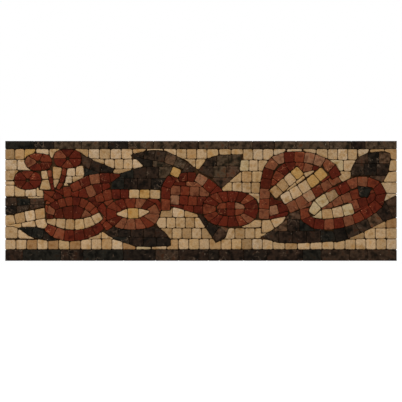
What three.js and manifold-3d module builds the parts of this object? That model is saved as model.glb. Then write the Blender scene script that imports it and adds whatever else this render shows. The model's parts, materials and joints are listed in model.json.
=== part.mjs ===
// A marble mosaic border panel. Worn tesserae of cream, red and dark brown marble are laid as a
// garland of flowers, buds and leaves, between two sawn strips of dark marble, on a glass-fibre net.
//
// Millimetres. X runs along the panel, Z up it, and it faces -Y. The back of the net is the plane
// y = 0, and the origin is the middle of that back.
//
// The garland is drawn on a grid of its own, 392 wide and 100 high, which covers the field between
// the strips. A course is a line of tesserae laid end to end, as a mosaicist lays them, and a fill is
// an outline filled with straight rows. What is listed first is laid first, and what follows is cut
// to fit around it.

import * as THREE from "three";
import { mergeVertices } from "three/addons/utils/BufferGeometryUtils.js";
import Module from "manifold-3d";

const wasm = await Module();
wasm.setup();

// Sizes of the panel
const panelLength = 392;
const topStripHeight = 8;
const fieldHeight = 101;
const bottomStripHeight = 11;
const netThickness = 0.7;
const glueFilm = 0.3; // clearance between the net and the stones, which the glue fills
const stoneThickness = 9;

// Sizes of the stones
const tesseraLength = 10; // along a row
const stripPieceLength = 24;
const joint = 0.4; // between neighbours, where they all but touch
const grooveDepth = 2.4; // how far down the worn edges part two neighbours
const wornEdge = 0.5; // how far a worn edge draws in by the time it reaches the face
const unevenness = 0.35; // how far a face may stand proud or low
const squareness = 0.85; // 1 leaves a ring or a bud a true oval
const lean = 0.5; // how far the end of a joint may stray from square
const smallestStone = 10; // mm2 of face, below which a scrap is left out
const thinnestStone = 1; // mean width below which a scrap is left out
const smallestCorner = 4; // mm2, below which a corner of a stone is worn away

// The grid that the garland is drawn on
const gridLength = 392;
const gridHeight = 100;

const stones = {
  cream: { color: 0xb29467, roughness: 0.6 },
  red: { color: 0x5f2413, roughness: 0.5 },
  dark: { color: 0x372b22, roughness: 0.45 },
};
const netFinish = { color: 0xcfc9bb, roughness: 0.9 };

const panelHeight = bottomStripHeight + fieldHeight + topStripHeight;
const fieldBottom = bottomStripHeight - panelHeight / 2;
const grooveFloor = stoneThickness - grooveDepth;
const widthScale = Math.min(panelLength / gridLength, fieldHeight / gridHeight);
const fieldTop = fieldBottom + fieldHeight;
const clearOfFaces = 1; // how far a cutter reaches past the stones it cuts
const farAway = 2 * (panelLength + panelHeight);

// A place on the grid as a place on the panel, in millimetres from its middle.
function at([u, v]) {
  return new THREE.Vector2(
    (u / gridLength - 0.5) * panelLength,
    fieldBottom + (v / gridHeight) * fieldHeight,
  );
}

// A number from -1 to 1 that is always the same for the same place.
function scatter(place, salt) {
  const wave = Math.sin(place.x * 12.9898 + place.y * 78.233 + salt * 37.719) * 43758.5453;
  return 2 * (wave - Math.floor(wave)) - 1;
}

// Outlines

// A loop with its edges moved outwards by a distance, or inwards where that is negative.
function grown(loop, distance) {
  const blunt = 0.35; // keeps the mitre of a sharp corner short
  const outwards = (a, b) => new THREE.Vector2(b.y - a.y, a.x - b.x).normalize();
  return loop.map((corner, i) => {
    const before = outwards(loop.at(i - 1), corner);
    const after = outwards(corner, loop[(i + 1) % loop.length]);
    const reach = distance / Math.max(1 + before.dot(after), blunt);
    return corner.clone().addScaledVector(before.add(after), reach);
  });
}

// The width of a course at a share of its length, from widths stated at even steps along it.
function widthAt(widths, share) {
  const place = share * (widths.length - 1);
  const step = Math.min(Math.floor(place), Math.max(widths.length - 2, 0));
  const next = widths[Math.min(step + 1, widths.length - 1)];
  return THREE.MathUtils.lerp(widths[step], next, place - step) * widthScale;
}

// Tesserae laid end to end along a smooth line.
function course(line, widths, count) {
  const curve = new THREE.SplineCurve(line.map(at));
  const joints = [];
  for (let i = 0; i <= count; i++) {
    const middle = curve.getPointAt(i / count);
    const along = curve.getTangentAt(i / count);
    const across = new THREE.Vector2(-along.y, along.x);
    const half = widthAt(widths, i / count) / 2;
    const stray = i > 0 && i < count ? lean * scatter(middle, 1) : 0;
    joints.push([
      middle.clone().addScaledVector(across, -half).addScaledVector(along, stray),
      middle.clone().addScaledVector(across, half).addScaledVector(along, -stray),
    ]);
  }
  return laidBetween(joints);
}

// Cells between joints that follow one another. Each outline spans two cells, so that they overlap.
function laidBetween(joints) {
  const span = (from, to) => {
    const met = joints.slice(from, to + 1);
    return [...met.map((j) => j[0]), ...met.map((j) => j[1]).reverse()];
  };
  const cells = joints.slice(1).map((_, i) => span(i, i + 1));
  const outlines = cells.length > 1 ? cells.slice(1).map((_, i) => span(i, i + 2)) : cells;
  return { outlines, cells };
}

// Joints that cross the band between two ovals, at even steps around it.
function jointsAround(centre, outer, inner, count) {
  const middle = [(outer[0] + inner[0]) / 2, (outer[1] + inner[1]) / 2];
  const path = new THREE.EllipseCurve(0, 0, ...middle);
  const squared = (share) => Math.sign(share) * Math.abs(share) ** squareness;
  const place = (turn, reach) =>
    at([
      centre[0] + reach[0] * squared(Math.cos(turn)),
      centre[1] + reach[1] * squared(Math.sin(turn)),
    ]);
  return Array.from({ length: count + 1 }, (_, i) => {
    const point = path.getPointAt(i / count);
    const turn = Math.atan2(point.y / middle[1], point.x / middle[0]);
    return [place(turn, outer), place(turn, inner)];
  });
}

// Tesserae laid in an oval ring.
function ring(centre, outer, inner, count) {
  const joints = jointsAround(centre, outer, inner, count);
  const { outlines, cells } = laidBetween(joints);
  const closing = laidBetween([joints[count - 1], joints[0], joints[1]]).outlines;
  return { outlines: [...outlines, ...closing], cells };
}

// Wedges around the middle of an oval.
function fan(centre, reach, eye, count) {
  const places = jointsAround(centre, reach, eye, 2 * count);
  const cells = Array.from({ length: count }, (_, i) => {
    const [first, middle, last] = places.slice(2 * i, 2 * i + 3);
    return [first[0], middle[0], last[0], last[1], first[1]];
  });
  return { outlines: [places.slice(1).map((place) => place[0])], cells };
}

// An outline filled with rows. The joint between two of them passes through a stated place.
function fill(corners, { slope = 0, through, pitch, length = tesseraLength }) {
  const outline = corners.map(at);
  if (THREE.ShapeUtils.isClockWise(outline)) outline.reverse();
  return { outlines: [outline], rows: { slope, through: at(through), pitch, length } };
}

function oval([u, v], [a, b], corners = 12) {
  return Array.from({ length: corners }, (_, i) => {
    const turn = (2 * Math.PI * i) / corners;
    return [u + a * Math.cos(turn), v + b * Math.sin(turn)];
  });
}

function box(left, bottom, right, top) {
  return [[left, bottom], [right, bottom], [right, top], [left, top]];
}

// Solids. While they are cut they lie flat, with their faces up.

function solidOf(geometry) {
  geometry.deleteAttribute("normal");
  geometry.deleteAttribute("uv");
  const merged = mergeVertices(geometry, 1e-4);
  return new wasm.Manifold(
    new wasm.Mesh({
      numProp: 3,
      vertProperties: merged.attributes.position.array,
      triVerts: new Uint32Array(merged.index.array),
    }),
  );
}

function prism(loop, bottom = 0, top = grooveFloor, holes = []) {
  const shape = new THREE.Shape(loop);
  shape.holes.push(...holes.map((hole) => new THREE.Path(hole)));
  const geometry = new THREE.ExtrudeGeometry(shape, { depth: top - bottom, bevelEnabled: false });
  return solidOf(geometry.translate(0, 0, bottom));
}

// What a shape keeps others out of, from below the stones to above them.
function keepOut({ outlines }) {
  const top = stoneThickness + 2 * clearOfFaces;
  return joined(outlines.map((outline) => prism(grown(outline, joint / 2), -clearOfFaces, top)));
}

function bed({ outlines }) {
  return joined(outlines.map((outline) => prism(grown(outline, -joint / 2))));
}

function joined(solids) {
  return solids.reduce((whole, next) => whole.add(next));
}

function area(solid) {
  return solid.volume() / grooveFloor;
}

// The loops around a flat solid's upper face, the outer one first.
function loopsOf(solid) {
  const { vertProperties, triVerts } = solid.getMesh();
  const corner = (i) => new THREE.Vector2(vertProperties[3 * i], vertProperties[3 * i + 1]);
  const top = Math.max(...vertProperties.filter((_, i) => i % 3 === 2));
  const onTop = (i) => vertProperties[3 * i + 2] > top - 0.01;
  const edges = new Map();
  for (let t = 0; t < triVerts.length; t += 3) {
    const face = triVerts.slice(t, t + 3);
    if (!face.every(onTop)) continue;
    face.forEach((from, k) => {
      const to = face[(k + 1) % 3];
      if (edges.get(to)?.delete(from)) return;
      if (!edges.has(from)) edges.set(from, new Set());
      edges.get(from).add(to);
    });
  }
  const loops = [];
  for (const [begun, onward] of edges) {
    while (onward.size) {
      const loop = [];
      let here = begun;
      do {
        loop.push(corner(here));
        const [next] = edges.get(here);
        edges.get(here).delete(next);
        here = next;
      } while (here !== begun);
      loops.push(loop);
    }
  }
  const size = (loop) => Math.abs(THREE.ShapeUtils.area(loop));
  return loops.sort((a, b) => size(b) - size(a));
}

function footprint(solid) {
  return withoutNeedless(loopsOf(solid)[0], 0.02);
}

// Keeps only the corners that a loop needs to stay within a distance of its course.
function straightened(loop, stray) {
  const kept = (from, to) => {
    const line = new THREE.Line3(...[from, to].map((i) => new THREE.Vector3(...loop[i], 0)));
    const offLine = loop.slice(from, to).map((p) => {
      const place = new THREE.Vector3(p.x, p.y, 0);
      return line.closestPointToPoint(place, true, new THREE.Vector3()).distanceTo(place);
    });
    const furthest = offLine.indexOf(Math.max(...offLine));
    if (furthest < 1 || offLine[furthest] < stray) return [loop[from]];
    return [...kept(from, from + furthest), ...kept(from + furthest, to)];
  };
  const middle = Math.floor(loop.length / 2);
  return [...kept(0, middle), ...kept(middle, loop.length - 1), loop.at(-1)];
}

// Drops corners for as long as one makes no more than a small triangle with the two beside it.
// A hollow corner has to be smaller still, because the loop grows where it goes.
function withoutNeedless(loop, smallest) {
  const hollowCounts = 8;
  const kept = THREE.ShapeUtils.isClockWise(loop) ? [...loop].reverse() : [...loop];
  while (kept.length > 3) {
    const sizes = kept.map((p, i) => {
      const before = kept.at(i - 1).clone().sub(p);
      const turn = kept[(i + 1) % kept.length].clone().sub(p).cross(before) / 2;
      return turn < 0 ? -turn * hollowCounts : turn;
    });
    const least = sizes.indexOf(Math.min(...sizes));
    if (sizes[least] > smallest) break;
    kept.splice(least, 1);
  }
  return kept;
}

function crossesItself(loop) {
  const side = (a, b, p) => Math.sign(b.clone().sub(a).cross(p.clone().sub(a)));
  const edges = loop.map((p, i) => [p, loop[(i + 1) % loop.length]]);
  return edges.some(([a, b], i) =>
    edges
      .slice(i + 2, i === 0 ? -1 : undefined)
      .some(([c, d]) => side(a, b, c) !== side(a, b, d) && side(c, d, a) !== side(c, d, b)),
  );
}

// The outline of a stone's foot, worn as far as it can be before its sides would meet.
function wornFoot(solid) {
  const ledge = 0.15; // keeps the sides of the stone off the sides of the bed
  const whole = footprint(solid);
  for (let worn = smallestCorner; worn > smallestCorner / 50; worn /= 2) {
    const foot = grown(withoutNeedless(whole, worn), -ledge);
    if (!crossesItself(foot)) return foot;
  }
  return null;
}

// Rows of a fill

function lowestAndHighest(solid, origin, direction) {
  const { vertProperties } = solid.getMesh();
  let low = Infinity;
  let high = -Infinity;
  for (let i = 0; i < vertProperties.length; i += 3) {
    const place = new THREE.Vector2(vertProperties[i], vertProperties[i + 1]).sub(origin);
    low = Math.min(low, place.dot(direction));
    high = Math.max(high, place.dot(direction));
  }
  return [low, high];
}

// How much of a loop lies on the line across a row at a distance along it.
function depthAcross(loop, origin, along, across, distance) {
  const crossings = [];
  loop.forEach((a, i) => {
    const b = loop[(i + 1) % loop.length];
    const [da, db] = [a, b].map((p) => p.clone().sub(origin).dot(along) - distance);
    if (da < 0 === db < 0) return;
    const meeting = a.clone().lerp(b, da / (da - db));
    crossings.push(meeting.sub(origin).dot(across));
  });
  crossings.sort((a, b) => a - b);
  return crossings.reduce((sum, c, i) => sum + (i % 2 ? c : -c), 0);
}

// The part of a row between two joints that cross it.
function between(origin, along, across, from, to) {
  const end = (distance, side, gap) => {
    const stray = lean * scatter(origin.clone().addScaledVector(along, distance), 2);
    return origin
      .clone()
      .addScaledVector(along, distance + gap + (side * stray) / 2)
      .addScaledVector(across, side * 3 * tesseraLength);
  };
  return [
    end(from, -1, joint / 2),
    end(to, -1, -joint / 2),
    end(to, 1, -joint / 2),
    end(from, 1, joint / 2),
  ];
}

// Parts a piece of a row into tesserae. A stretch that tapers gets longer ones.
function partedRow(piece, origin, along, across, pitch, length) {
  const steps = 40;
  const weightOfDepth = 0.45;
  const loop = footprint(piece);
  const [low, high] = lowestAndHighest(piece, origin, along);
  const stride = (high - low) / steps;
  const sums = [0];
  for (let i = 0; i < steps; i++) {
    const depth = depthAcross(loop, origin, along, across, low + (i + 0.5) * stride);
    sums.push(sums[i] + stride * (1 - weightOfDepth + (weightOfDepth * depth) / pitch));
  }
  const count = Math.max(1, Math.round(sums[steps] / length));
  const cuts = [low - 1];
  for (let i = 1; i < count; i++) {
    const wanted = (i / count) * sums[steps];
    const step = sums.findIndex((sum) => sum > wanted) - 1;
    const share = (wanted - sums[step]) / (sums[step + 1] - sums[step]);
    cuts.push(low + (step + share) * stride);
  }
  cuts.push(high + 1);
  return cuts
    .slice(1)
    .map((to, i) => piece.intersect(prism(between(origin, along, across, cuts[i], to))));
}

function laidRows(region, { slope, through, pitch, length }) {
  const turn = THREE.MathUtils.degToRad(slope);
  const along = new THREE.Vector2(Math.cos(turn), Math.sin(turn));
  const across = new THREE.Vector2(-along.y, along.x);
  const depth = pitch * widthScale;
  const [low, high] = lowestAndHighest(region, through, across);
  const laid = [];
  for (let row = Math.floor(low / depth); row * depth < high; row++) {
    const middle = through.clone().addScaledVector(across, (row + 0.5) * depth);
    const half = depth / 2 - joint / 2;
    const corners = [[-1, -1], [1, -1], [1, 1], [-1, 1]].map(([end, side]) =>
      middle.clone().addScaledVector(along, end * farAway).addScaledVector(across, side * half),
    );
    const pieces = region.intersect(prism(corners)).decompose();
    for (const piece of pieces.filter((solid) => area(solid) > smallestStone))
      laid.push(...partedRow(piece, middle, along, across, depth, length));
  }
  return laid;
}

// Stones

function meanWidth(solid) {
  const loop = footprint(solid);
  const around = loop.reduce((sum, p, i) => sum + p.distanceTo(loop.at(i - 1)), 0);
  return (2 * area(solid)) / around;
}

function worthLaying(solid) {
  return area(solid) > smallestStone && meanWidth(solid) > thinnestStone && wornFoot(solid);
}

// One stone above the bed, drawing in towards its face. Its root is sunk in the bed.
function tessera(solid) {
  const root = 0.4;
  const foot = wornFoot(solid);
  const face = grown(foot, -Math.min(wornEdge, meanWidth(solid) / 4));
  const middle = foot.reduce((sum, p) => sum.add(p), new THREE.Vector2()).divideScalar(foot.length);
  const rise = grooveDepth + unevenness * scatter(middle, 3);
  const depth = root + rise;
  const geometry = new THREE.ExtrudeGeometry(new THREE.Shape(foot), { depth, bevelEnabled: false });
  const places = geometry.attributes.position;
  for (let i = 0; i < places.count; i++) {
    if (places.getZ(i) < depth / 2) continue;
    const here = new THREE.Vector2(places.getX(i), places.getY(i));
    const distances = foot.map((p) => p.distanceTo(here));
    const { x, y } = face[distances.indexOf(Math.min(...distances))];
    places.setXY(i, x, y);
  }
  return solidOf(geometry.translate(0, 0, grooveFloor - root));
}

// The separate bodies of shapes in one kind of stone, cut to fit around what is laid already.
function laid(shapes, taken) {
  let filled = taken;
  const tesserae = [];
  for (const shape of shapes) {
    const room = bed(shape).subtract(filled);
    const cut = shape.rows
      ? laidRows(room, shape.rows)
      : shape.cells.map((cell) => prism(grown(cell, -joint / 2)).intersect(room));
    tesserae.push(...cut.flatMap((solid) => solid.decompose()).filter(worthLaying));
    filled = filled.add(keepOut(shape));
  }
  const bodies = [];
  for (const room of joined(shapes.map((shape) => bed(shape))).subtract(taken).decompose()) {
    const stonesOnIt = tesserae.filter((t) => t.intersect(room).volume() > t.volume() / 2);
    if (!stonesOnIt.length) continue;
    const [outer, ...holes] = loopsOf(room).map((loop) => straightened(loop, 0.45 * joint));
    const base = prism(outer, 0, grooveFloor, holes);
    const reach = prism(outer, 0, stoneThickness + clearOfFaces, holes);
    bodies.push(base.add(joined(stonesOnIt.map(tessera)).intersect(reach)));
  }
  return { bodies, taken: filled };
}

// The garland, on its grid

const buds = [
  ["upper_bud", fan([62.5, 90.5], [14.6, 9.8], [2, 1.6], 6)],
  ["left_bud", fan([33.4, 87], [14.2, 8.8], [3, 1.6], 5)],
  ["lower_bud", fan([22.5, 69], [14.3, 9.4], [2.4, 1.6], 6)],
];

const stalk = [
  course([[44, 79], [46, 68], [48, 58.5]], [4.5, 4, 3.5], 3),
  course([[59.5, 81], [58, 72], [55, 64], [52.5, 60]], [4.5, 5, 4.5, 4], 3),
  fill([[38, 59], [45, 59], [52, 61], [58, 63], [67, 62], [67, 52], [50, 47], [40, 41]], {
    slope: -35,
    through: [47.5, 51],
    pitch: 8,
    length: 9,
  }),
];

// The first flower: an arch over a lens, a pale smile, and a base below it
const flower1Smile = [
  course(
    [[41.5, 28.5], [54, 26.5], [65, 25], [76, 25.3], [87, 28.5], [96, 34]],
    [4, 9.5, 10.8, 10.8, 10, 8],
    6,
  ),
];
const flower1Arch = [
  course(
    [[45, 35], [47, 42], [55, 46], [64, 48], [72, 48], [81, 45], [88, 39.5], [92, 34.5]],
    [8, 9, 9, 9, 9, 9, 9, 7],
    8,
  ),
  course([[48, 34], [58, 37.5], [67, 38], [76, 37.5], [87, 32]], [8, 15, 16, 13, 5], 4),
  fill([[39.5, 43], [41, 49], [47, 46], [48, 36], [56, 30], [40.5, 28]], {
    through: [41, 36.5],
    pitch: 8,
  }),
];
const flower1Base = [
  course(
    [[41, 22.5], [49, 17.5], [58, 14.5], [69, 14], [80, 15.5], [90, 19.5], [96.5, 25]],
    [7, 11, 11, 11, 10.5, 10.5, 9],
    6,
  ),
];

// Petals that lean from the first flower to the second
const petals = [
  course(
    [[66, 60.5], [75, 65], [85, 69.5], [95, 71], [105, 71.3], [115, 74]],
    [8, 9.5, 10, 10, 10, 2],
    5,
  ),
  course(
    [[58, 57], [67, 58], [75, 55.5], [84, 57.5], [92, 61], [99, 62.5], [105, 64]],
    [10, 11, 11, 12, 12, 9, 4],
    6,
  ),
  course([[90, 51], [100, 54], [108, 55.3], [116, 55.3], [124, 55.3]], [8, 12, 10, 9.5, 9.5], 4),
  fill(
    [[62, 66], [107, 68], [104, 60], [128, 60.2], [127.5, 35.5], [99, 17], [94, 24], [97, 34],
      [80, 50]],
    { slope: -45, through: [95.2, 37.2], pitch: 9 },
  ),
];
const petalTip = [
  fill([[130, 60], [156, 60], [156, 38], [140, 40]], { slope: -45, through: [150, 40], pitch: 9 }),
];
const petalsLight = [
  course([[123.8, 55.5], [135, 55.4], [145, 55.2], [155.3, 54.8]], [9.2, 9, 9.2, 9.4], 3),
];

// The second flower: a ring around a pale lens
const flower2Lens = [
  course(
    [[111.5, 35.5], [120, 36], [128, 36], [136, 36.5], [144.5, 38]],
    [2, 10.5, 11, 10, 1.5],
    3,
  ),
];
const flower2 = [ring([127.5, 35.5], [28, 15.8], [13, 3.5], 13)];

// The third flower: a rim of red with a pale square set in it
const flower3Square = [course([[166.2, 78.7], [175, 75]], [9, 9], 1)];
const flower3 = [
  course([[160.5, 39], [160.3, 53], [161.5, 63.5], [167, 71.5]], [10, 10, 9.5, 9.5], 3),
  course([[174, 71.5], [183, 72.5], [191, 72]], [8, 9.5, 9.5], 2),
  fill(
    [[163, 73], [176, 72.5], [200, 70], [205, 60], [205, 35], [192, 35.5], [175, 41], [165, 43.5],
      [155, 38.5], [155, 60]],
    { slope: -3, through: [165, 54.5], pitch: 9.5 },
  ),
];

// The fourth flower: a ring around an eye, with a tail up to the third
const flower4 = [
  ring([225.5, 40.5], [28.5, 17.8], [15, 7.2], 15),
  fill(oval([225.5, 40.5], [17, 8.6]), { through: [225, 40.5], pitch: 7.8, length: 9 }),
  course([[191.5, 72.5], [199, 68], [208, 60.5], [216, 52]], [9, 10.5, 11.5, 12], 3),
];

// The fifth flower: a rim, an inner rim, a foot, and pale rows that climb across its heart
const flower5 = [
  course(
    [[259, 30.5], [259.5, 45], [260, 58], [261.5, 70], [265, 82], [272, 89.7], [283, 91.8], [295, 92.2],
      [307, 90.8], [318, 86.6], [327, 81], [332, 72]],
    [10.5],
    13,
  ),
  course([[271, 69], [278, 79], [286, 84], [297, 82.5], [307, 79]], [10, 11, 11, 10.5, 10.5], 5),
  course([[283, 41], [296, 47], [305, 53.5], [315, 59], [324, 64], [334, 71.5]], [11], 6),
  fill([[262, 29.5], [282, 33.5], [290, 44], [332, 70], [318, 84], [296, 90], [264, 84]], {
    slope: 15,
    through: [270, 44.5],
    pitch: 9.5,
  }),
];
const flower5Heart = [
  course([[267.5, 54.5], [280, 65.5], [296, 79]], [11], 4),
  course([[277, 49.5], [290, 56.5], [305, 66], [320, 78]], [11], 5),
  fill([[268, 50], [281, 58], [299, 76.5], [312, 79], [318, 84], [322, 76], [300, 60], [278, 48]], {
    slope: 38,
    through: [294, 66],
    pitch: 6.5,
    length: 8,
  }),
];

// The sixth flower: a leaning ring, pale along its lower left, around a heart of two rows
const flower6 = [
  course(
    [[300, 41], [302, 30], [317, 25], [341, 28], [362, 37], [376.5, 50], [371, 64.5], [352, 67.5],
      [335, 59]],
    [10.5],
    15,
  ),
  fill([[294, 40], [333, 66], [352, 69], [376, 62], [374, 46], [352, 34], [310, 26], [299, 30]], {
    slope: 20,
    through: [348, 49],
    pitch: 9.5,
  }),
];
const flower6Light = [
  course([[332, 57], [321, 50.5], [313, 45], [306.5, 36]], [9, 11, 11, 8], 3),
  course([[306.5, 34], [318, 35.2], [328, 36.2], [338, 38.2], [348.5, 41.3]], [2, 10, 10, 11, 11.5], 4),
];
const flower6Dark = [course([[360, 62.5], [359, 52.5]], [14.5, 8.5], 1)];

const leaves = [
  [
    fill(
      [[76, 96], [83, 91], [95, 86], [109.5, 80], [107, 76.5], [93, 75.5], [79.5, 72],
        [78.5, 83], [76, 88]],
      { slope: -17, through: [85, 79.5], pitch: 12, length: 11 },
    ),
  ],
  [
    course([[128, 94], [147, 93.5], [160, 92], [173, 86.5], [190, 79]], [2, 10, 11, 10, 3], 6),
    fill(
      [[126, 94], [135, 96.3], [147, 97.2], [159, 96.3], [173, 92], [182, 88], [192, 78.5],
        [179, 75.5], [165, 74], [161, 69], [156, 59.8], [103, 60], [104.5, 67.5], [113, 75],
        [128, 80], [139, 82.5], [133, 89]],
      { through: [110, 59.5], pitch: 11.5, length: 12 },
    ),
  ],
  [
    fill(
      [[193, 78.5], [202, 89.5], [208, 92.5], [215, 94], [236.5, 94.5], [234.5, 77], [216, 60.5],
        [206, 72], [199, 75]],
      { through: [215, 83], pitch: 11.6, length: 12 },
    ),
  ],
  [
    fill(
      [[192.5, 35], [196, 36.5], [200, 33], [208, 28], [223.5, 21.5], [220.5, 12.5], [211, 7],
        [202, 20]],
      { slope: -36, through: [208, 26.5], pitch: 13 },
    ),
  ],
  [
    fill(
      [[346, 71.5], [346.5, 80], [349, 85], [354, 91.5], [363, 96], [375, 97.3], [385.5, 95.5],
        [385.8, 90], [383.5, 77], [378, 67], [373, 69], [357, 73]],
      { through: [360, 85.5], pitch: 12, length: 12 },
    ),
  ],
  [
    course(
      [[330, 13.5], [345, 18], [357, 24], [369, 30.5], [380, 38], [396, 44]],
      [13, 12.5, 12.5, 14, 18, 22],
      6,
    ),
    fill(
      [[256.5, 13], [263, 17], [270, 20.5], [278, 27], [283, 35.5], [294, 39], [305, 33],
        [305, 24], [340, 22], [345, 12], [330, 8.5], [315, 7.5], [295, 6.5], [273, 7], [265, 10],
        [257, 12]],
      { through: [290, 18.5], pitch: 12, length: 12.5 },
    ),
  ],
  [
    fill(
      [[-1, 53], [10, 52], [17, 50.8], [33, 50.6], [40, 51.5], [41, 43], [35, 42], [23, 39.5],
        [13, 36.5], [8, 35], [-1, 34.5]],
      { slope: 4, through: [10, 43.5], pitch: 9, length: 12 },
    ),
  ],
  [
    fill(
      [[13, 21.5], [22, 22.7], [32, 22.2], [41, 19], [46, 13.5], [52, 9.5], [43, 9], [31, 11.5],
        [25, 13], [19, 17.5]],
      { slope: -15, through: [30, 10], pitch: 13 },
    ),
  ],
  [
    fill(
      [[99.5, 18], [105, 23], [122, 24], [138, 24], [149, 28], [155, 21],
        [160, 17], [165.5, 10], [165.5, 4], [145, 3], [130, 3.5], [120, 7], [110, 10.5],
        [104, 13.5]],
      { through: [130, 12.5], pitch: 11, length: 12 },
    ),
  ],
];

// The pale ground, laid last, in straight rows wherever there is room left
const past = 2; // how far the ground is drawn past the ends of the grid, which cut it off
const groundLeft = [
  fill([[36, 83], [60, 83], [57, 72], [54, 64], [51.5, 59.5], [34, 59.5]], {
    through: [50, 70],
    pitch: 13,
  }),
  fill(box(-past, 68.2, 60, gridHeight + past), { through: [0, 100], pitch: 10.6 }),
  fill(box(-past, 64, 16, 69), { through: [0, 68.2], pitch: 4.2 }),
  fill(box(-past, 51, 44, 69), { through: [0, 64], pitch: 11.4 }),
];
const groundMiddle = [
  fill([[59, 83], [80, 84], [82, 69], [66, 61], [53, 59], [56, 68]], {
    through: [50, 73],
    pitch: 11.5,
  }),
];
const groundTop = [
  fill(box(67, 60, 127.5, gridHeight + past), { through: [0, 100], pitch: 10.1 }),
  fill(box(126, 60, 202, gridHeight + past), { through: [0, 100], pitch: 10.1 }),
  fill(box(201, 45, gridLength + past, gridHeight + past), { through: [0, 100], pitch: 11.1 }),
];
const groundBottom = [
  fill([[236, 22.5], [241, 26.5], [248, 30], [257, 29.5], [256, 22]], {
    through: [240, 21],
    pitch: 13,
  }),
  fill([[256, 30.5], [271, 31.5], [285, 36], [279, 27], [270, 21], [263, 17], [256.5, 16.5]], {
    slope: 27,
    through: [256, 13],
    pitch: 16,
    length: 13,
  }),
  fill([[-past, 35], [41, 44], [43, 19], [12, 21.5], [8, 23], [-past, 23]], {
    slope: 11,
    through: [20, 27.5],
    pitch: 10.5,
  }),
  fill(box(-past, 10, 30, 25), { through: [0, 11.2], pitch: 12 }),
  fill(box(-past, -past, gridLength + past, 46), { through: [0, 0.3], pitch: 10.7 }),
];

const garland = [
  ...buds.map(([name, bud]) => ({ name, stone: "red", shapes: [bud] })),
  { name: "flower_6_light", stone: "cream", shapes: flower6Light },
  { name: "flower_6_dark", stone: "dark", shapes: flower6Dark },
  { name: "flower_6", stone: "red", shapes: flower6 },
  { name: "flower_5_heart", stone: "cream", shapes: flower5Heart },
  { name: "flower_5", stone: "red", shapes: flower5 },
  { name: "flower_4", stone: "red", shapes: flower4 },
  { name: "flower_3_square", stone: "cream", shapes: flower3Square },
  { name: "flower_2_lens", stone: "cream", shapes: flower2Lens },
  { name: "flower_2", stone: "red", shapes: flower2 },
  { name: "flower_1_smile", stone: "cream", shapes: flower1Smile },
  { name: "flower_1_arch", stone: "red", shapes: flower1Arch },
  { name: "flower_1_base", stone: "red", shapes: flower1Base },
  { name: "petals_light", stone: "cream", shapes: petalsLight },
  { name: "petals", stone: "red", shapes: petals },
  { name: "petal_tip", stone: "red", shapes: petalTip },
  { name: "flower_3", stone: "red", shapes: flower3 },
  { name: "stalk", stone: "red", shapes: stalk },
  ...leaves.map((shapes, i) => ({ name: `leaf_${i + 1}`, stone: "dark", shapes })),
  { name: "ground_left", stone: "cream", shapes: groundLeft },
  { name: "ground_middle", stone: "cream", shapes: groundMiddle },
  { name: "ground_top", stone: "cream", shapes: groundTop },
  { name: "ground_bottom", stone: "cream", shapes: groundBottom },
];

// A strip of sawn pieces between two heights, from end to end of the panel
function strip(low, high) {
  const count = Math.round(panelLength / stripPieceLength);
  const unequal = 0.3; // how far a joint may stray, as a share of a piece
  const ends = Array.from({ length: count + 1 }, (_, i) => {
    const stray = i > 0 && i < count ? unequal * scatter(new THREE.Vector2(i, low), 4) : 0;
    return ((i + stray) / count - 0.5) * panelLength;
  });
  const rectangle = (left, right) =>
    [[left, low], [right, low], [right, high], [left, high]].map((p) => new THREE.Vector2(...p));
  return {
    outlines: [rectangle(ends[0] - joint / 2, ends[count] + joint / 2)],
    cells: ends.slice(1).map((right, i) => rectangle(ends[i], right)),
  };
}

// Everything outside a rectangle, which what lies in it is cut off at
function around(low, high) {
  const rectangle = (x, bottom, top) =>
    [[-x, bottom], [x, bottom], [x, top], [-x, top]].map((p) => new THREE.Vector2(...p));
  const top = stoneThickness + 2 * clearOfFaces;
  return prism(rectangle(farAway, -farAway, farAway), -clearOfFaces, top, [
    rectangle(panelLength / 2, low, high),
  ]);
}

const panel = new THREE.Group();
panel.rotation.x = Math.PI / 2;

function meshOf(solid, name, { color, roughness }) {
  const { vertProperties, triVerts } = solid.getMesh();
  const geometry = new THREE.BufferGeometry();
  geometry.setAttribute("position", new THREE.BufferAttribute(vertProperties, 3));
  geometry.setIndex(new THREE.BufferAttribute(triVerts, 1));
  geometry.computeVertexNormals();
  const material = new THREE.MeshStandardMaterial({ color, roughness, metalness: 0 });
  const mesh = new THREE.Mesh(geometry, material);
  mesh.name = name;
  return mesh;
}

const net = new THREE.Mesh(
  new THREE.BoxGeometry(panelLength, panelHeight, netThickness),
  new THREE.MeshStandardMaterial({ ...netFinish, metalness: 0 }),
);
net.name = "net";
net.position.z = netThickness / 2;
panel.add(net);

const stonework = new THREE.Group();
stonework.position.z = netThickness + glueFilm;
panel.add(stonework);

function add(name, stone, bodies) {
  bodies.forEach((body, i) => {
    const full = bodies.length > 1 ? `${name}_${i + 1}` : name;
    stonework.add(meshOf(body, full, stones[stone]));
  });
}

let taken = around(-panelHeight / 2, panelHeight / 2);
add("bottom_strip", "dark", laid([strip(-panelHeight / 2, fieldBottom)], taken).bodies);
add("top_strip", "dark", laid([strip(fieldTop, panelHeight / 2)], taken).bodies);

taken = around(fieldBottom + joint / 2, fieldTop - joint / 2);
for (const { name, stone, shapes } of garland) {
  const made = laid(shapes, taken);
  add(name, stone, made.bodies);
  taken = made.taken;
}

export default panel;
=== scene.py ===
# A border panel of tumbled marble tesserae on a glass-fibre net, for a wall.
# The panel faces -Y and its back lies in the plane y = 0. Lengths are in metres here, and values
# that end in _mm are in millimetres.

import json
import math
import random

import bmesh
import bpy
from mathutils import Matrix, Vector, noise


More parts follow.
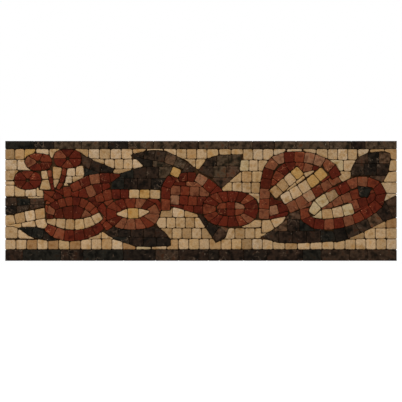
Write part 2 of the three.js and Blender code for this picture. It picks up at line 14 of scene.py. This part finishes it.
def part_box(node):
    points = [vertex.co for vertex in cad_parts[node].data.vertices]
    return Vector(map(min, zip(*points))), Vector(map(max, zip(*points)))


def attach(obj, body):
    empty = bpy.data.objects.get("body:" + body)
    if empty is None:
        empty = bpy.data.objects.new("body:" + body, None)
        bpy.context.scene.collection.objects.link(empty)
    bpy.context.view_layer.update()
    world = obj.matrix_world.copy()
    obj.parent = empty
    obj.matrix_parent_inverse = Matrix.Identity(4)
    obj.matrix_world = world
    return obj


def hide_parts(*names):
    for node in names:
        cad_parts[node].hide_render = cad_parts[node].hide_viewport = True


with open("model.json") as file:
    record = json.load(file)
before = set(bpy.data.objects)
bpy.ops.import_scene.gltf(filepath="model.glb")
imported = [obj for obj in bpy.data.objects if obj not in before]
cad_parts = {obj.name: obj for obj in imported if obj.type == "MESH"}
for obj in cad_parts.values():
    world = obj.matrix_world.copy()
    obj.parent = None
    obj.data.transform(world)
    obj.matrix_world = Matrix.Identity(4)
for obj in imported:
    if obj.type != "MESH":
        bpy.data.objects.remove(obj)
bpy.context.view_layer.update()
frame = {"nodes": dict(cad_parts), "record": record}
nodes = frame["nodes"]
net_low, net_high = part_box("net")
half_length, half_height = net_high.x, net_high.z

SEED = 11
random.seed(SEED)
noise.seed_set(SEED)

MM = 0.001
FRONT = Vector((0, -1, 0))

# Sizes of a tumbled stone. Waves are how many cells of a noise there are in a mm.
rim_step_mm = 1.2  # along the rim, from one point of it to the next
rim_stray_mm, rim_waves = 0.25, 0.45  # how far the rim wanders
chip_mm, chip_waves = 0.1, 1.3  # how far small chips take it on top of that
crown_mm = 0.28  # how much the middle of a face stands above its rim
face_stray_mm, face_waves = 0.14, 0.55  # how uneven a face is
face_depth_mm = 1.5  # how far below its rim a stone is still as uneven as its face
corner_share = 0.45  # the most of its shorter side that a worn corner takes
# How far a corner is worn back, least and most, and how much wider than the solid's face the stone
# is at its rim. What is left of the worn edge rounds over below the rim.
WEAR_MM = {"cream": (0.4, 1.3, 0.15), "red": (0.2, 0.9, 0.45), "dark": (0.1, 0.5, 0.6)}
cut_mm = 1.2  # a rim this near the panel's outer edge is sawn along it
cut_side_mm = 0.5  # and so are the sides below it that are this near
arris_mm = 0.2  # how far a sawn rim lies inside the panel's outer edge
listed_reach_mm = 4.5  # how near its place a listed stone's middle is
worn_edge_mm = 0.72  # how far a solid's face is drawn in from the sides of its stone
# The rings of points that the sides have below the rim: how far below it in mm, with None for the
# stone's back, and the share of the worn edge by which each is wider than the last
SIDE_RINGS = ((0.22, 0.55), (0.75, 0.3), (2.4, 0.1), (None, -0.2))
# The insets that dome a face: how far in from the last in mm, and the share of the crown it rises by
FACE_INSETS = ((0.45, 0.4), (1.5, 0.4), (1.8, 0.2))
least_inset = 0.5  # the smallest share of its size that an inset leaves of a small face
groove_from_mm = 1.6  # what lies this far behind a solid's front is the floor of a groove
least_face_mm2 = 3  # a smaller flat part isn't the face of a stone
stone_back_mm = 1.0  # from the wall to the backs of the stones
joint_fill_mm = 7.9  # from the wall to the top of the dark fill, painted shade, that the joints are filled with
JOINT_SHADE_MM = (9.5, 8.2)  # from the wall to where painted shade starts to darken a stone, and where it's darkest
gloss = 0.03  # of tumbled stone and of the dark fill in the joints, which scatter nearly all of their shine

# Sizes of the net, with its weft along the panel and its warp across it, in front of the weft
net_pitch_mm = 5.0  # from one strand to the next
strand_mm, strand_thick_mm = 1.1, 0.5  # width and thickness of a strand
strand_round_mm = 0.15  # taken off the strand's edges
warp_lift_mm = 0.1  # how far the warp stands in front of the weft
glue_mm = 1.8  # width of a band of glue along a strand
glue_back_mm = 0.35  # from the wall to the back of the weft's bands of glue
glue_grip_mm = 0.1  # how far they reach past the backs of the stones
glue_lift_mm = 0.03  # how far the warp's bands stand in front of the weft's
inner_mm = 0.4  # from the panel's outer edge to the glue and the dark fill
joint_fill_gap_mm = 0.05  # from the backs of the stones to the back of the dark fill


# Colours


def linear(colour):
    """The linear colour of an sRGB hex value."""
    shares = [int(colour[i : i + 2], 16) / 255 for i in (1, 3, 5)]
    return [s / 12.92 if s <= 0.04045 else ((s + 0.055) / 1.055) ** 2.4 for s in shares]


# What each marble comes in, and how much of it there is
MARBLES = {
    "cream": [
        ("#a88d6c", 6), ("#a08461", 5), ("#9a7a54", 3), ("#ab9376", 3), ("#8c704e", 2), ("#a38660", 4),
    ],
    "red": [
        ("#561e0e", 6), ("#4f1a0c", 4), ("#5e2815", 6), ("#4a190b", 3), ("#65301b", 4), ("#6e3b25", 1),
    ],
    "dark": [("#34271c", 5), ("#2a1e15", 5), ("#1f1811", 5), ("#402e21", 4), ("#4e392a", 1)],
}

# Odd stones among the rest, and painted light and shade: for each marble, a colour and where it lies, as
# x and z in mm
ODD_STONES_AND_PAINTED_LIGHT = {
    "red": {
        "#6c4029": [
            (92, -6), (127, 34), (63, -13), (100, -1), (133, 19), (125, 15), (65, 8), (71, 36),
            (145, 3), (137, -1), (106, -5), (147, -20), (128, -6), (162, 19), (3, 8), (-6, 9),
            (-8, 16), (-26, 10), (-62, -4), (-49, -10), (-71, -24), (-79, -23), (-110, 9),
            (-106, 21), (-115, -14), (-150, -11), (-171, 38), (46, -17), (-50, -17), (107, 33),
        ],
        "#7d583f": [
            (-26, 1), (0, 21), (39, -6), (73, -10), (120, 4), (79, 41), (109, 43), (118, 40), (96, 1),
        ],
        "#8d7053": [(109, 4)],
        "#461809": [
            (40, 3), (-86, -20), (-54, -5), (21, -12), (65, 17), (-151, -16), (-23, 19), (-18, 23),
            (-9, 23), (-107, -2), (-143, -14), (-133, -12), (-86, 24), (-156, 35), (-181, 17),
            (73, 0), (65, 27), (-113, -31),
        ],
    },
    "dark": {
        "#553f2d": [(-31, 41), (175, -18), (184, 42), (23, -28), (80, -26)],
        # Among these, the top strip's pieces at z = 56 are made lighter: painted light, brighter at the
        # top
        "#463829": [
            (-40, 36), (-35, 27), (-21, 37), (22, 41), (34, 41), (18, 29), (-134, 56), (-106, 56),
            (-60, 56), (-34, 56), (12, 56), (39, 56), (84, 56), (112, 56), (140, 56), (180, 56),
        ],
        "#2a1e15": [
            (98, -36), (109, -35), (85, -36), (147, -26), (188, -12), (88, -25), (95, -28),
            (-107, 36), (-99, 34),
        ],
        # Among these, the bottom strip's pieces at z = -54 are made darker: painted shade towards the
        # bottom
        "#1e1c16": [
            (164, 8), (-174, -30), (-163, -32), (-83, 17), (-76, 25), (-178, -1), (-78, -39),
            (-112, 27), (-91, -54), (-112, -54), (111, -54), (-159, -54), (105, -26), (127, -36),
            (-183, 55), (13, 20),
        ],
    },
    "cream": {
        "#a07d4a": [
            (-68, -13), (115, 19), (121, 28), (96, 28), (-169, 46), (-57, 6), (80, -31), (-26, 29),
        ],
        # Mostly the cream's bottom row, made darker: painted shade towards the bottom
        "#8a6844": [(-147, -43), (-168, -43), (-126, -44), (8, -40), (191, -23), (-71, -46)],
        "#a5916f": [
            (150, -9), (117, -15), (-55, -37), (72, 15), (44, 34), (138, 35), (-57, -47), (122, 0),
            (113, -8),
        ],
        "#8a7053": [(131, 5)],
    },
}


# Materials

# The colour sockets of a Mix node, which has a set of sockets for each kind of value
MIX_UNDER, MIX_TOP, MIX_RESULT = 6, 7, 2


def add(tree, kind, links=(), **settings):
    """Adds a node, sets its properties and the values of its inputs, and links its inputs."""
    made = tree.nodes.new(kind)
    for name, value in settings.items():
        if hasattr(made, name):
            setattr(made, name, value)
        else:
            made.inputs[name.replace("_", " ")].default_value = value
    for name, source in dict(links).items():
        tree.links.new(source, made.inputs[name])
    return made


def ramp(tree, source, stops):
    """A colour ramp with sRGB hex stops."""
    made = add(tree, "ShaderNodeValToRGB", {"Fac": source})
    band = made.color_ramp
    while len(band.elements) < len(stops):
        band.elements.new(0.5)
    for element, (place, colour) in zip(band.elements, stops):
        element.position = place
        element.color = (*linear(colour), 1)
    return made.outputs["Color"]


def finish_named(name):
    """A new material, its node tree and its Principled shader."""
    material = bpy.data.materials.new(name)
    material.use_nodes = True
    return material, material.node_tree, material.node_tree.nodes["Principled BSDF"]


def times(tree, a, b):
    """Colour a multiplied by colour b."""
    made = add(
        tree, "ShaderNodeMix", {MIX_UNDER: a, MIX_TOP: b}, data_type="RGBA", blend_type="MULTIPLY",
        Factor=1,
    )
    return made.outputs[MIX_RESULT]


def over(tree, under, top, mask):
    """The sRGB colour top laid over colour under where the mask is 1."""
    made = add(tree, "ShaderNodeMix", {"Factor": mask, MIX_UNDER: under}, data_type="RGBA")
    made.inputs[MIX_TOP].default_value = (*linear(top), 1)
    return made.outputs[MIX_RESULT]


def tumbled_marble(name, clouds, veins, specks, roughness, dust):
    """Marble sawn into tesserae and tumbled with sand until its edges are round.

    Tumbling leaves a fine matt skin with pits and small bruises. Each stone has a colour of its
    own, which clouds and veins run through, and painted shade darkens it down in the joints.
    clouds, veins and specks each start with a size in mm. Clouds also have the stops of a ramp. Veins
    have a colour, a width, and how much of the bed they spread over. Specks have a colour, and a
    value that is higher the rarer they are.
    """
    grain_mm, veined_mm, pit_mm = 0.9, 11, 1.6  # the grain, a part of the bed with veins, and a pit
    material, tree, shader = finish_named(name)
    place = add(tree, "ShaderNodeTexCoord").outputs["Object"]
    own = add(tree, "ShaderNodeAttribute", attribute_name="stone").outputs["Color"]
    shift = add(tree, "ShaderNodeAttribute", attribute_name="bed_of_stone").outputs["Vector"]
    moved = add(tree, "ShaderNodeVectorMath", {0: place, 1: shift}, operation="ADD").outputs[0]

    def noise_of(size_mm, detail):
        made = add(tree, "ShaderNodeTexNoise", {"Vector": moved}, Scale=1 / (size_mm * MM), Detail=detail)
        return made.outputs[0]

    def share_of(value, low, high, start=0.0, end=1.0):
        made = add(
            tree, "ShaderNodeMapRange", {"Value": value}, From_Min=low, From_Max=high, To_Min=start,
            To_Max=end,
        )
        return made.outputs[0]

    size_mm, tints = clouds
    cloud = noise_of(size_mm, 5)
    colour = times(tree, own, ramp(tree, cloud, tints))
    grain = ramp(tree, noise_of(grain_mm, 3), [(0.3, "#b6b6b6"), (0.7, "#e4e4e4")])
    colour = times(tree, colour, grain)

    # Veins lie where a noise passes its middle, in some parts of the bed only
    size_mm, vein, width, spread = veins
    off = add(tree, "ShaderNodeMath", {0: noise_of(size_mm, 4)}, operation="SUBTRACT")
    off.inputs[1].default_value = 0.5
    line = add(tree, "ShaderNodeMath", {0: off.outputs[0]}, operation="ABSOLUTE").outputs[0]
    line = share_of(line, 0, width, 1, 0)
    where = share_of(noise_of(veined_mm, 1), 0.62 - spread, 0.68 - spread)
    mask = add(tree, "ShaderNodeMath", {0: line, 1: where}, operation="MULTIPLY").outputs[0]
    colour = over(tree, colour, vein, mask)

    # Specks are bits of shell and calcite
    size_mm, speck, least = specks
    colour = over(tree, colour, speck, share_of(noise_of(size_mm, 2), least, least + 0.05))

    # Painted shade darkens the sides of a stone down in a joint, more the deeper they go, and not a sawn
    # end or the back
    depth = add(tree, "ShaderNodeSeparateXYZ", {0: place}).outputs["Y"]
    down = share_of(depth, -JOINT_SHADE_MM[0] * MM, -JOINT_SHADE_MM[1] * MM)
    in_joint = add(tree, "ShaderNodeAttribute", attribute_name="in_joint").outputs["Fac"]
    joint_shade_mask = add(tree, "ShaderNodeMath", {0: down, 1: in_joint}, operation="MULTIPLY").outputs[0]
    colour = times(tree, colour, ramp(tree, joint_shade_mask, [(0.0, "#ffffff"), (1.0, dust)]))
    tree.links.new(colour, shader.inputs["Base Color"])

    bump = add(tree, "ShaderNodeBump", {"Height": noise_of(pit_mm, 6)}, Strength=0.4, Distance=0.5 * MM)
    tree.links.new(bump.outputs[0], shader.inputs["Normal"])
    rubbed = share_of(cloud, 0.3, 0.7, roughness - 0.06, roughness + 0.08)
    tree.links.new(rubbed, shader.inputs["Roughness"])
    shader.inputs["IOR"].default_value = 1.5
    shader.inputs["Specular IOR Level"].default_value = gloss
    return material


# The last colour of each finish is that of the painted shade deep in its joints
FINISHES = {
    # Cream limestone marble: soft and sandy, with faint clouds of honey and a few rusty threads
    "cream": tumbled_marble(
        "tumbled_cream_marble",
        clouds=(6, [(0.3, "#d9c7a6"), (0.5, "#ffffff"), (0.72, "#f1dfbe")]),
        veins=(6, "#6f4f2c", 0.01, 0.06),
        specks=(1.4, "#8a704c", 0.69),
        roughness=0.66,
        dust="#a68c6c",
    ),
    # Red marble: stained with iron, with darker clouds and a few thin pale threads
    "red": tumbled_marble(
        "tumbled_red_marble",
        clouds=(5, [(0.3, "#b39a90"), (0.5, "#ffffff"), (0.75, "#f0c8b0")]),
        veins=(7, "#8a5a3c", 0.008, 0.04),
        specks=(1.3, "#7a4a34", 0.7),
        roughness=0.6,
        dust="#8f7468",
    ),
    # Dark brown marble: a breccia, nearly black, with brown patches and faint threads of calcite
    "dark": tumbled_marble(
        "tumbled_dark_marble",
        clouds=(5, [(0.34, "#6e7466"), (0.45, "#c2b8ae"), (0.56, "#ffffff"), (0.68, "#ffd2b4")]),
        veins=(6, "#4d3f32", 0.016, 0.05),
        specks=(2.2, "#5e5548", 0.73),
        roughness=0.55,
        dust="#8f857c",
    ),
}


def joint_shade_fill():
    """A dark brown fill deep in the joints: painted shade that stands in for the shade down there."""
    material, tree, shader = finish_named("stone_dust_in_glue")
    lump_mm = 4
    place = add(tree, "ShaderNodeTexCoord").outputs["Object"]
    lumps = add(tree, "ShaderNodeTexNoise", {"Vector": place}, Scale=1 / (lump_mm * MM), Detail=4)
    colour = ramp(tree, lumps.outputs[0], [(0.35, "#22150a"), (0.7, "#3d2917")])
    tree.links.new(colour, shader.inputs["Base Color"])
    shader.inputs["Roughness"].default_value = 0.9
    shader.inputs["IOR"].default_value = 1.48
    shader.inputs["Specular IOR Level"].default_value = gloss
    return material


def mosaic_glue():
    """White glue brushed on along the strands, dried until it is waxy and a little yellow."""
    material, _, shader = finish_named("mosaic_glue")
    shader.inputs["Base Color"].default_value = (*linear("#a3916a"), 1)
    shader.inputs["Roughness"].default_value = 0.45
    shader.inputs["IOR"].default_value = 1.48
    return material


def glass_fibre():
    """Leno-woven glass-fibre yarn with a coating: off-white, matt, with fine threads along it."""
    material, tree, shader = finish_named("coated_glass_fibre_net")
    thread_mm = 0.6
    place = add(tree, "ShaderNodeTexCoord").outputs["Object"]
    threads = add(tree, "ShaderNodeTexNoise", {"Vector": place}, Scale=1 / (thread_mm * MM), Detail=2)
    colour = ramp(tree, threads.outputs[0], [(0.3, "#b9b3a4"), (0.7, "#dcd7ca")])
    tree.links.new(colour, shader.inputs["Base Color"])
    bump = add(tree, "ShaderNodeBump", {"Height": threads.outputs[0]}, Strength=0.4)
    bump.inputs["Distance"].default_value = 0.2 * MM
    tree.links.new(bump.outputs[0], shader.inputs["Normal"])
    shader.inputs["Roughness"].default_value = 0.85
    return material


def bright_paper():
    """Seamless white studio paper, lit until it is as white as the backdrop."""
    material, _, shader = finish_named("studio_paper")
    shader.inputs["Base Color"].default_value = (*linear("#f4f3f1"), 1)
    shader.inputs["Roughness"].default_value = 0.8
    shader.inputs["Emission Color"].default_value = (1, 1, 1, 1)
    shader.inputs["Emission Strength"].default_value = 0.12
    return material


# Stones


def faces_of_stones(node, deepest):
    """The outline of each stone's face in a CAD node, as a loop of points.

    A face is flat, looks forwards, and lies in front of deepest, which is a place along Y.
    """
    same_place = 1e-7  # between points that are one, in metres
    forwards = 0.999  # the least cosine between a face's normal and the front
    solid = bmesh.new()
    solid.from_mesh(node.data)
    bmesh.ops.remove_doubles(solid, verts=solid.verts, dist=same_place)
    solid.normal_update()
    front = [f for f in solid.faces if f.normal.dot(FRONT) > forwards]
    faces = {f for f in front if f.calc_center_median().y < deepest}
    bmesh.ops.delete(solid, geom=[f for f in solid.faces if f not in faces], context="FACES")
    bmesh.ops.dissolve_limit(
        solid, angle_limit=math.radians(0.5), verts=solid.verts, edges=solid.edges, delimit=set()
    )
    least_area = least_face_mm2 * MM**2
    outlines = [[v.co.copy() for v in f.verts] for f in solid.faces if f.calc_area() > least_area]
    solid.free()
    return outlines


def widened(rim, middle, distance):
    """Moves the points of a closed rim outwards, across the panel."""
    outwards = {}
    for edge in rim:
        a, b = (v.co for v in edge.verts)
        out = (b - a).cross(FRONT).normalized()
        if out.dot((a + b) / 2 - middle) < 0:
            out.negate()
        for point in edge.verts:
            outwards[point] = outwards.get(point, Vector()) + out
    for point, out in outwards.items():
        point.co += out.normalized() * distance


def sawn_flush(points, near, inside):
    """Puts points that are this near the panel's outer edge, or past it, this far inside it."""
    for point in points:
        for axis, half in ((0, half_length), (2, half_height)):
            if abs(point.co[axis]) > half - near:
                point.co[axis] = math.copysign(half - inside, point.co[axis])


def worn_face(outline, least_worn, most_worn, wider):
    """The flat face of a stone, with worn corners and an uneven rim, and its middle."""
    stone = bmesh.new()
    stone.faces.new([stone.verts.new(p) for p in outline])
    for corner in list(stone.verts):
        if abs(corner.co.x) > half_length - cut_mm * MM or abs(corner.co.z) > half_height - cut_mm * MM:
            continue
        room = min(e.calc_length() for e in corner.link_edges) * corner_share
        bmesh.ops.bevel(
            stone, geom=[corner], offset=min(random.uniform(least_worn, most_worn) * MM, room),
            offset_type="OFFSET", affect="VERTICES", segments=2, profile=0.5, material=-1,
        )
    for edge in list(stone.edges):
        cuts = int(edge.calc_length() / (rim_step_mm * MM))
        if cuts:
            bmesh.ops.subdivide_edges(stone, edges=[edge], cuts=cuts)
    middle = sum((v.co for v in stone.verts), Vector()) / len(stone.verts)
    widened(stone.edges, middle, wider * MM)
    for point in stone.verts:
        at = point.co / MM
        stray = noise.noise_vector(at * rim_waves) * rim_stray_mm
        stray += noise.noise_vector(at * chip_waves) * chip_mm
        point.co += Vector((stray.x, 0, stray.z)) * MM
    sawn_flush(stone.verts, cut_mm * MM, arris_mm * MM)
    return stone, middle


def add_sides(stone, middle, spread):
    """Gives the flat face of a stone sides that spread below its rim, down to its back."""
    rim = list(stone.edges)
    for drop_mm, share in SIDE_RINGS:
        sides = bmesh.ops.extrude_edge_only(stone, edges=rim)["geom"]
        ring = [v for v in sides if isinstance(v, bmesh.types.BMVert)]
        rim = [e for e in sides if isinstance(e, bmesh.types.BMEdge)]
        widened(rim, middle, share * spread)
        sawn_flush(ring, cut_side_mm * MM, 0)
        for point in ring:
            point.co.y = -stone_back_mm * MM if drop_mm is None else middle.y + drop_mm * MM
    bmesh.ops.holes_fill(stone, edges=rim, sides=0)


def dome(stone, face, middle):
    """Domes the face of a stone by insets that draw in towards its middle, and makes it uneven."""
    crown = crown_mm * random.uniform(0.5, 1.2) * MM
    for reach_mm, rise in FACE_INSETS:
        bmesh.ops.inset_individual(stone, faces=[face], thickness=0, depth=0)
        spans = [max(v.co[i] for v in face.verts) - min(v.co[i] for v in face.verts) for i in (0, 2)]
        drawn = [max(least_inset, 1 - 2 * reach_mm * MM / span) for span in spans]
        bmesh.ops.scale(
            stone, vec=(drawn[0], 1, drawn[1]), space=Matrix.Translation(-middle), verts=face.verts
        )
        bmesh.ops.translate(stone, vec=FRONT * crown * rise, verts=face.verts)
    bmesh.ops.poke(stone, faces=[face])
    for point in stone.verts:
        if point.co.y < middle.y + face_depth_mm * MM:
            point.co.y -= noise.noise(point.co / MM * face_waves) * face_stray_mm * MM


def tumbled(outline, wear):
    """A stone under an outline, and the middle of its face."""
    least_worn, most_worn, wider = wear
    stone, middle = worn_face(outline, least_worn, most_worn, wider)
    [face] = stone.faces
    add_sides(stone, middle, (worn_edge_mm - wider) * MM)
    dome(stone, face, middle)
    bmesh.ops.recalc_face_normals(stone, faces=stone.faces)
    return stone, middle


def colour_of(place, marble):
    """The colour of a stone whose middle is at a place. No two of a kind are quite alike."""
    colours, weights = zip(*MARBLES[marble])
    shade = random.uniform(0.9, 1.1)
    for colour, places in ODD_STONES_AND_PAINTED_LIGHT[marble].items():
        if any(math.hypot(place.x / MM - x, place.z / MM - z) < listed_reach_mm for x, z in places):
            return linear(colour)
    return [c * shade for c in linear(random.choices(colours, weights)[0])]


def piece(name, mesh, finish, replaced=None):
    """An object of the scene that rides on the panel, and the CAD node that it replaces, if any."""
    mesh.materials.append(finish)
    made = bpy.data.objects.new(name, mesh)
    bpy.context.scene.collection.objects.link(made)
    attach(made, "root")
    if replaced:
        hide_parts(replaced)


def lies_in_joint(place):
    """Whether a point of a stone is on neither the panel's sawn edges nor its back, where painted shade
    may darken it.
    """
    near = 0.3 * MM
    across = abs(place.x) < half_length - near and abs(place.z) < half_height - near
    return across and place.y < -stone_back_mm * MM - near


def lay_stones(node_name, marble):
    """Tumbled stones in the places of a CAD node's, as one piece."""
    low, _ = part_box(node_name)
    bed = bmesh.new()
    colours = []
    beds = []
    for outline in faces_of_stones(nodes[node_name], low.y + groove_from_mm * MM):
        stone, place = tumbled(outline, WEAR_MM[marble])
        colour = colour_of(place, marble)
        shift = Vector([random.uniform(-1, 1) for _ in range(3)])
        colours += [colour] * len(stone.verts)
        beds += [shift] * len(stone.verts)
        part = bpy.data.meshes.new("stone")
        stone.to_mesh(part)
        stone.free()
        bed.from_mesh(part)
        bpy.data.meshes.remove(part)
    mesh = bpy.data.meshes.new(node_name + "_stones")
    bed.to_mesh(mesh)
    bed.free()
    own = mesh.attributes.new("stone", "FLOAT_COLOR", "POINT")
    own.data.foreach_set("color", [c for colour in colours for c in (*colour, 1)])
    shifts = mesh.attributes.new("bed_of_stone", "FLOAT_VECTOR", "POINT")
    shifts.data.foreach_set("vector", [c for shift in beds for c in shift])
    in_joint = mesh.attributes.new("in_joint", "FLOAT", "POINT")
    in_joint.data.foreach_set("value", [float(lies_in_joint(v.co)) for v in mesh.vertices])
    mesh.polygons.foreach_set("use_smooth", [True] * len(mesh.polygons))
    piece(node_name + "_stones", mesh, FINISHES[marble], node_name)


SLOTS = {s["node"]: s["material_slot"] for s in frame["record"]["subparts"]}
for name in sorted(set(nodes) - {"net"}):
    lay_stones(name, SLOTS[name].replace("_marble", ""))


# The net and the glue


def block(low, high):
    """A bmesh box between two corners."""
    made = bmesh.new()
    low, high = Vector(low), Vector(high)
    size = Matrix.Diagonal((*(high - low), 1))
    bmesh.ops.create_cube(made, size=1, matrix=Matrix.Translation((low + high) / 2) @ size)
    return made


def mesh_of(name, shape):
    """A mesh of a bmesh, which is freed."""
    mesh = bpy.data.meshes.new(name)
    shape.to_mesh(mesh)
    shape.free()
    return mesh


def lattice(width_mm, weft_mm, warp_mm, inset_mm=0):
    """Bands across each other at the pitch of the net, a weft along the panel and a warp across it.

    Each of the two is given by where its back and its front lie in front of the wall, in mm.
    """
    made = bmesh.new()
    for across, (back_mm, front_mm) in ((2, weft_mm), (0, warp_mm)):
        length = net_high[across] - net_low[across]
        count = round(length / (net_pitch_mm * MM))
        for i in range(count):
            middle = net_low[across] + (i + 0.5) * length / count
            inset = Vector((inset_mm, 0, inset_mm)) * MM
            low, high = net_low + inset, net_high - inset
            low[across], high[across] = middle - width_mm / 2 * MM, middle + width_mm / 2 * MM
            low.y, high.y = -front_mm * MM, -back_mm * MM
            band = mesh_of("band", block(low, high))
            made.from_mesh(band)
            bpy.data.meshes.remove(band)
    return made


# A dark fill deep in the joints behind the stones: painted shade
dust = block(
    (net_low.x + inner_mm * MM, -joint_fill_mm * MM, net_low.z + inner_mm * MM),
    (net_high.x - inner_mm * MM, -(stone_back_mm + joint_fill_gap_mm) * MM, net_high.z - inner_mm * MM),
)
piece("dust", mesh_of("dust", dust), joint_shade_fill())

glue_front_mm = stone_back_mm + glue_grip_mm
warp_glue_mm = (glue_back_mm + glue_lift_mm, glue_front_mm + glue_lift_mm)
glue = lattice(glue_mm, (glue_back_mm, glue_front_mm), warp_glue_mm, inner_mm)
piece("glue", mesh_of("glue", glue), mosaic_glue())

weave = lattice(strand_mm, (0, strand_thick_mm), (warp_lift_mm, warp_lift_mm + strand_thick_mm))
least_run = net_pitch_mm * 2 * MM  # the strands' long edges are longer than this, their ends shorter
bmesh.ops.bevel(
    weave, geom=[e for e in weave.edges if e.calc_length() > least_run], offset=strand_round_mm * MM,
    offset_type="OFFSET", affect="EDGES", segments=1, profile=0.5, material=-1,
)
piece("net_weave", mesh_of("net_weave", weave), glass_fibre(), "net")


# The studio


def stage_floor(name, place, reach, material):
    """A level floor that reaches this far to each side of a place."""
    shape = bmesh.new()
    bmesh.ops.create_grid(shape, x_segments=1, y_segments=1, size=reach)
    bmesh.ops.translate(shape, verts=shape.verts, vec=place)
    made = bpy.data.objects.new(name, mesh_of(name, shape))
    made.data.materials.append(material)
    bpy.context.scene.collection.objects.link(made)


def soft_light(name, place, aim, size, watts):
    """A square soft box of this size that faces aim."""
    data = bpy.data.lights.new(name, "AREA")
    data.size = size
    data.energy = watts
    made = bpy.data.objects.new(name, data)
    made.location = place
    made.rotation_euler = (Vector(aim) - Vector(place)).to_track_quat("-Z", "Y").to_euler()
    bpy.context.scene.collection.objects.link(made)


floor_drop = 0.25
stage_floor("floor", place=(0, 0, net_low.z - floor_drop), reach=6, material=bright_paper())
soft_light("key", place=(-0.55, -0.95, 1.15), aim=(0, 0, 0), size=0.35, watts=21)

world = bpy.data.worlds.new("studio")
world.use_nodes = True
world.node_tree.nodes["Background"].inputs["Color"].default_value = (1, 1, 1, 1)
world.node_tree.nodes["Background"].inputs["Strength"].default_value = 1.0
bpy.context.scene.world = world
bpy.context.scene.view_settings.view_transform = "Standard"

# The photograph shows the panel straight on. It spans 391.6 of the 402 pixels of the width.
panel_pixels = 391.6
image_pixels = 402
distance = 1.6
faces_mm = 10.1  # from the wall to the domed faces of the stones
camera_drop_mm = 0.1  # from the panel's middle down to the photograph's
lens = bpy.data.cameras.new("camera")
lens.sensor_fit = "HORIZONTAL"
lens.sensor_width = 36
shown = (net_high.x - net_low.x) * image_pixels / panel_pixels
lens.lens = lens.sensor_width * (distance - faces_mm * MM) / shown
camera = bpy.data.objects.new("camera", lens)
camera.location = (0, -distance, -camera_drop_mm * MM)
camera.rotation_euler = (math.radians(90), 0, 0)
bpy.context.scene.collection.objects.link(camera)
bpy.context.scene.camera = camera
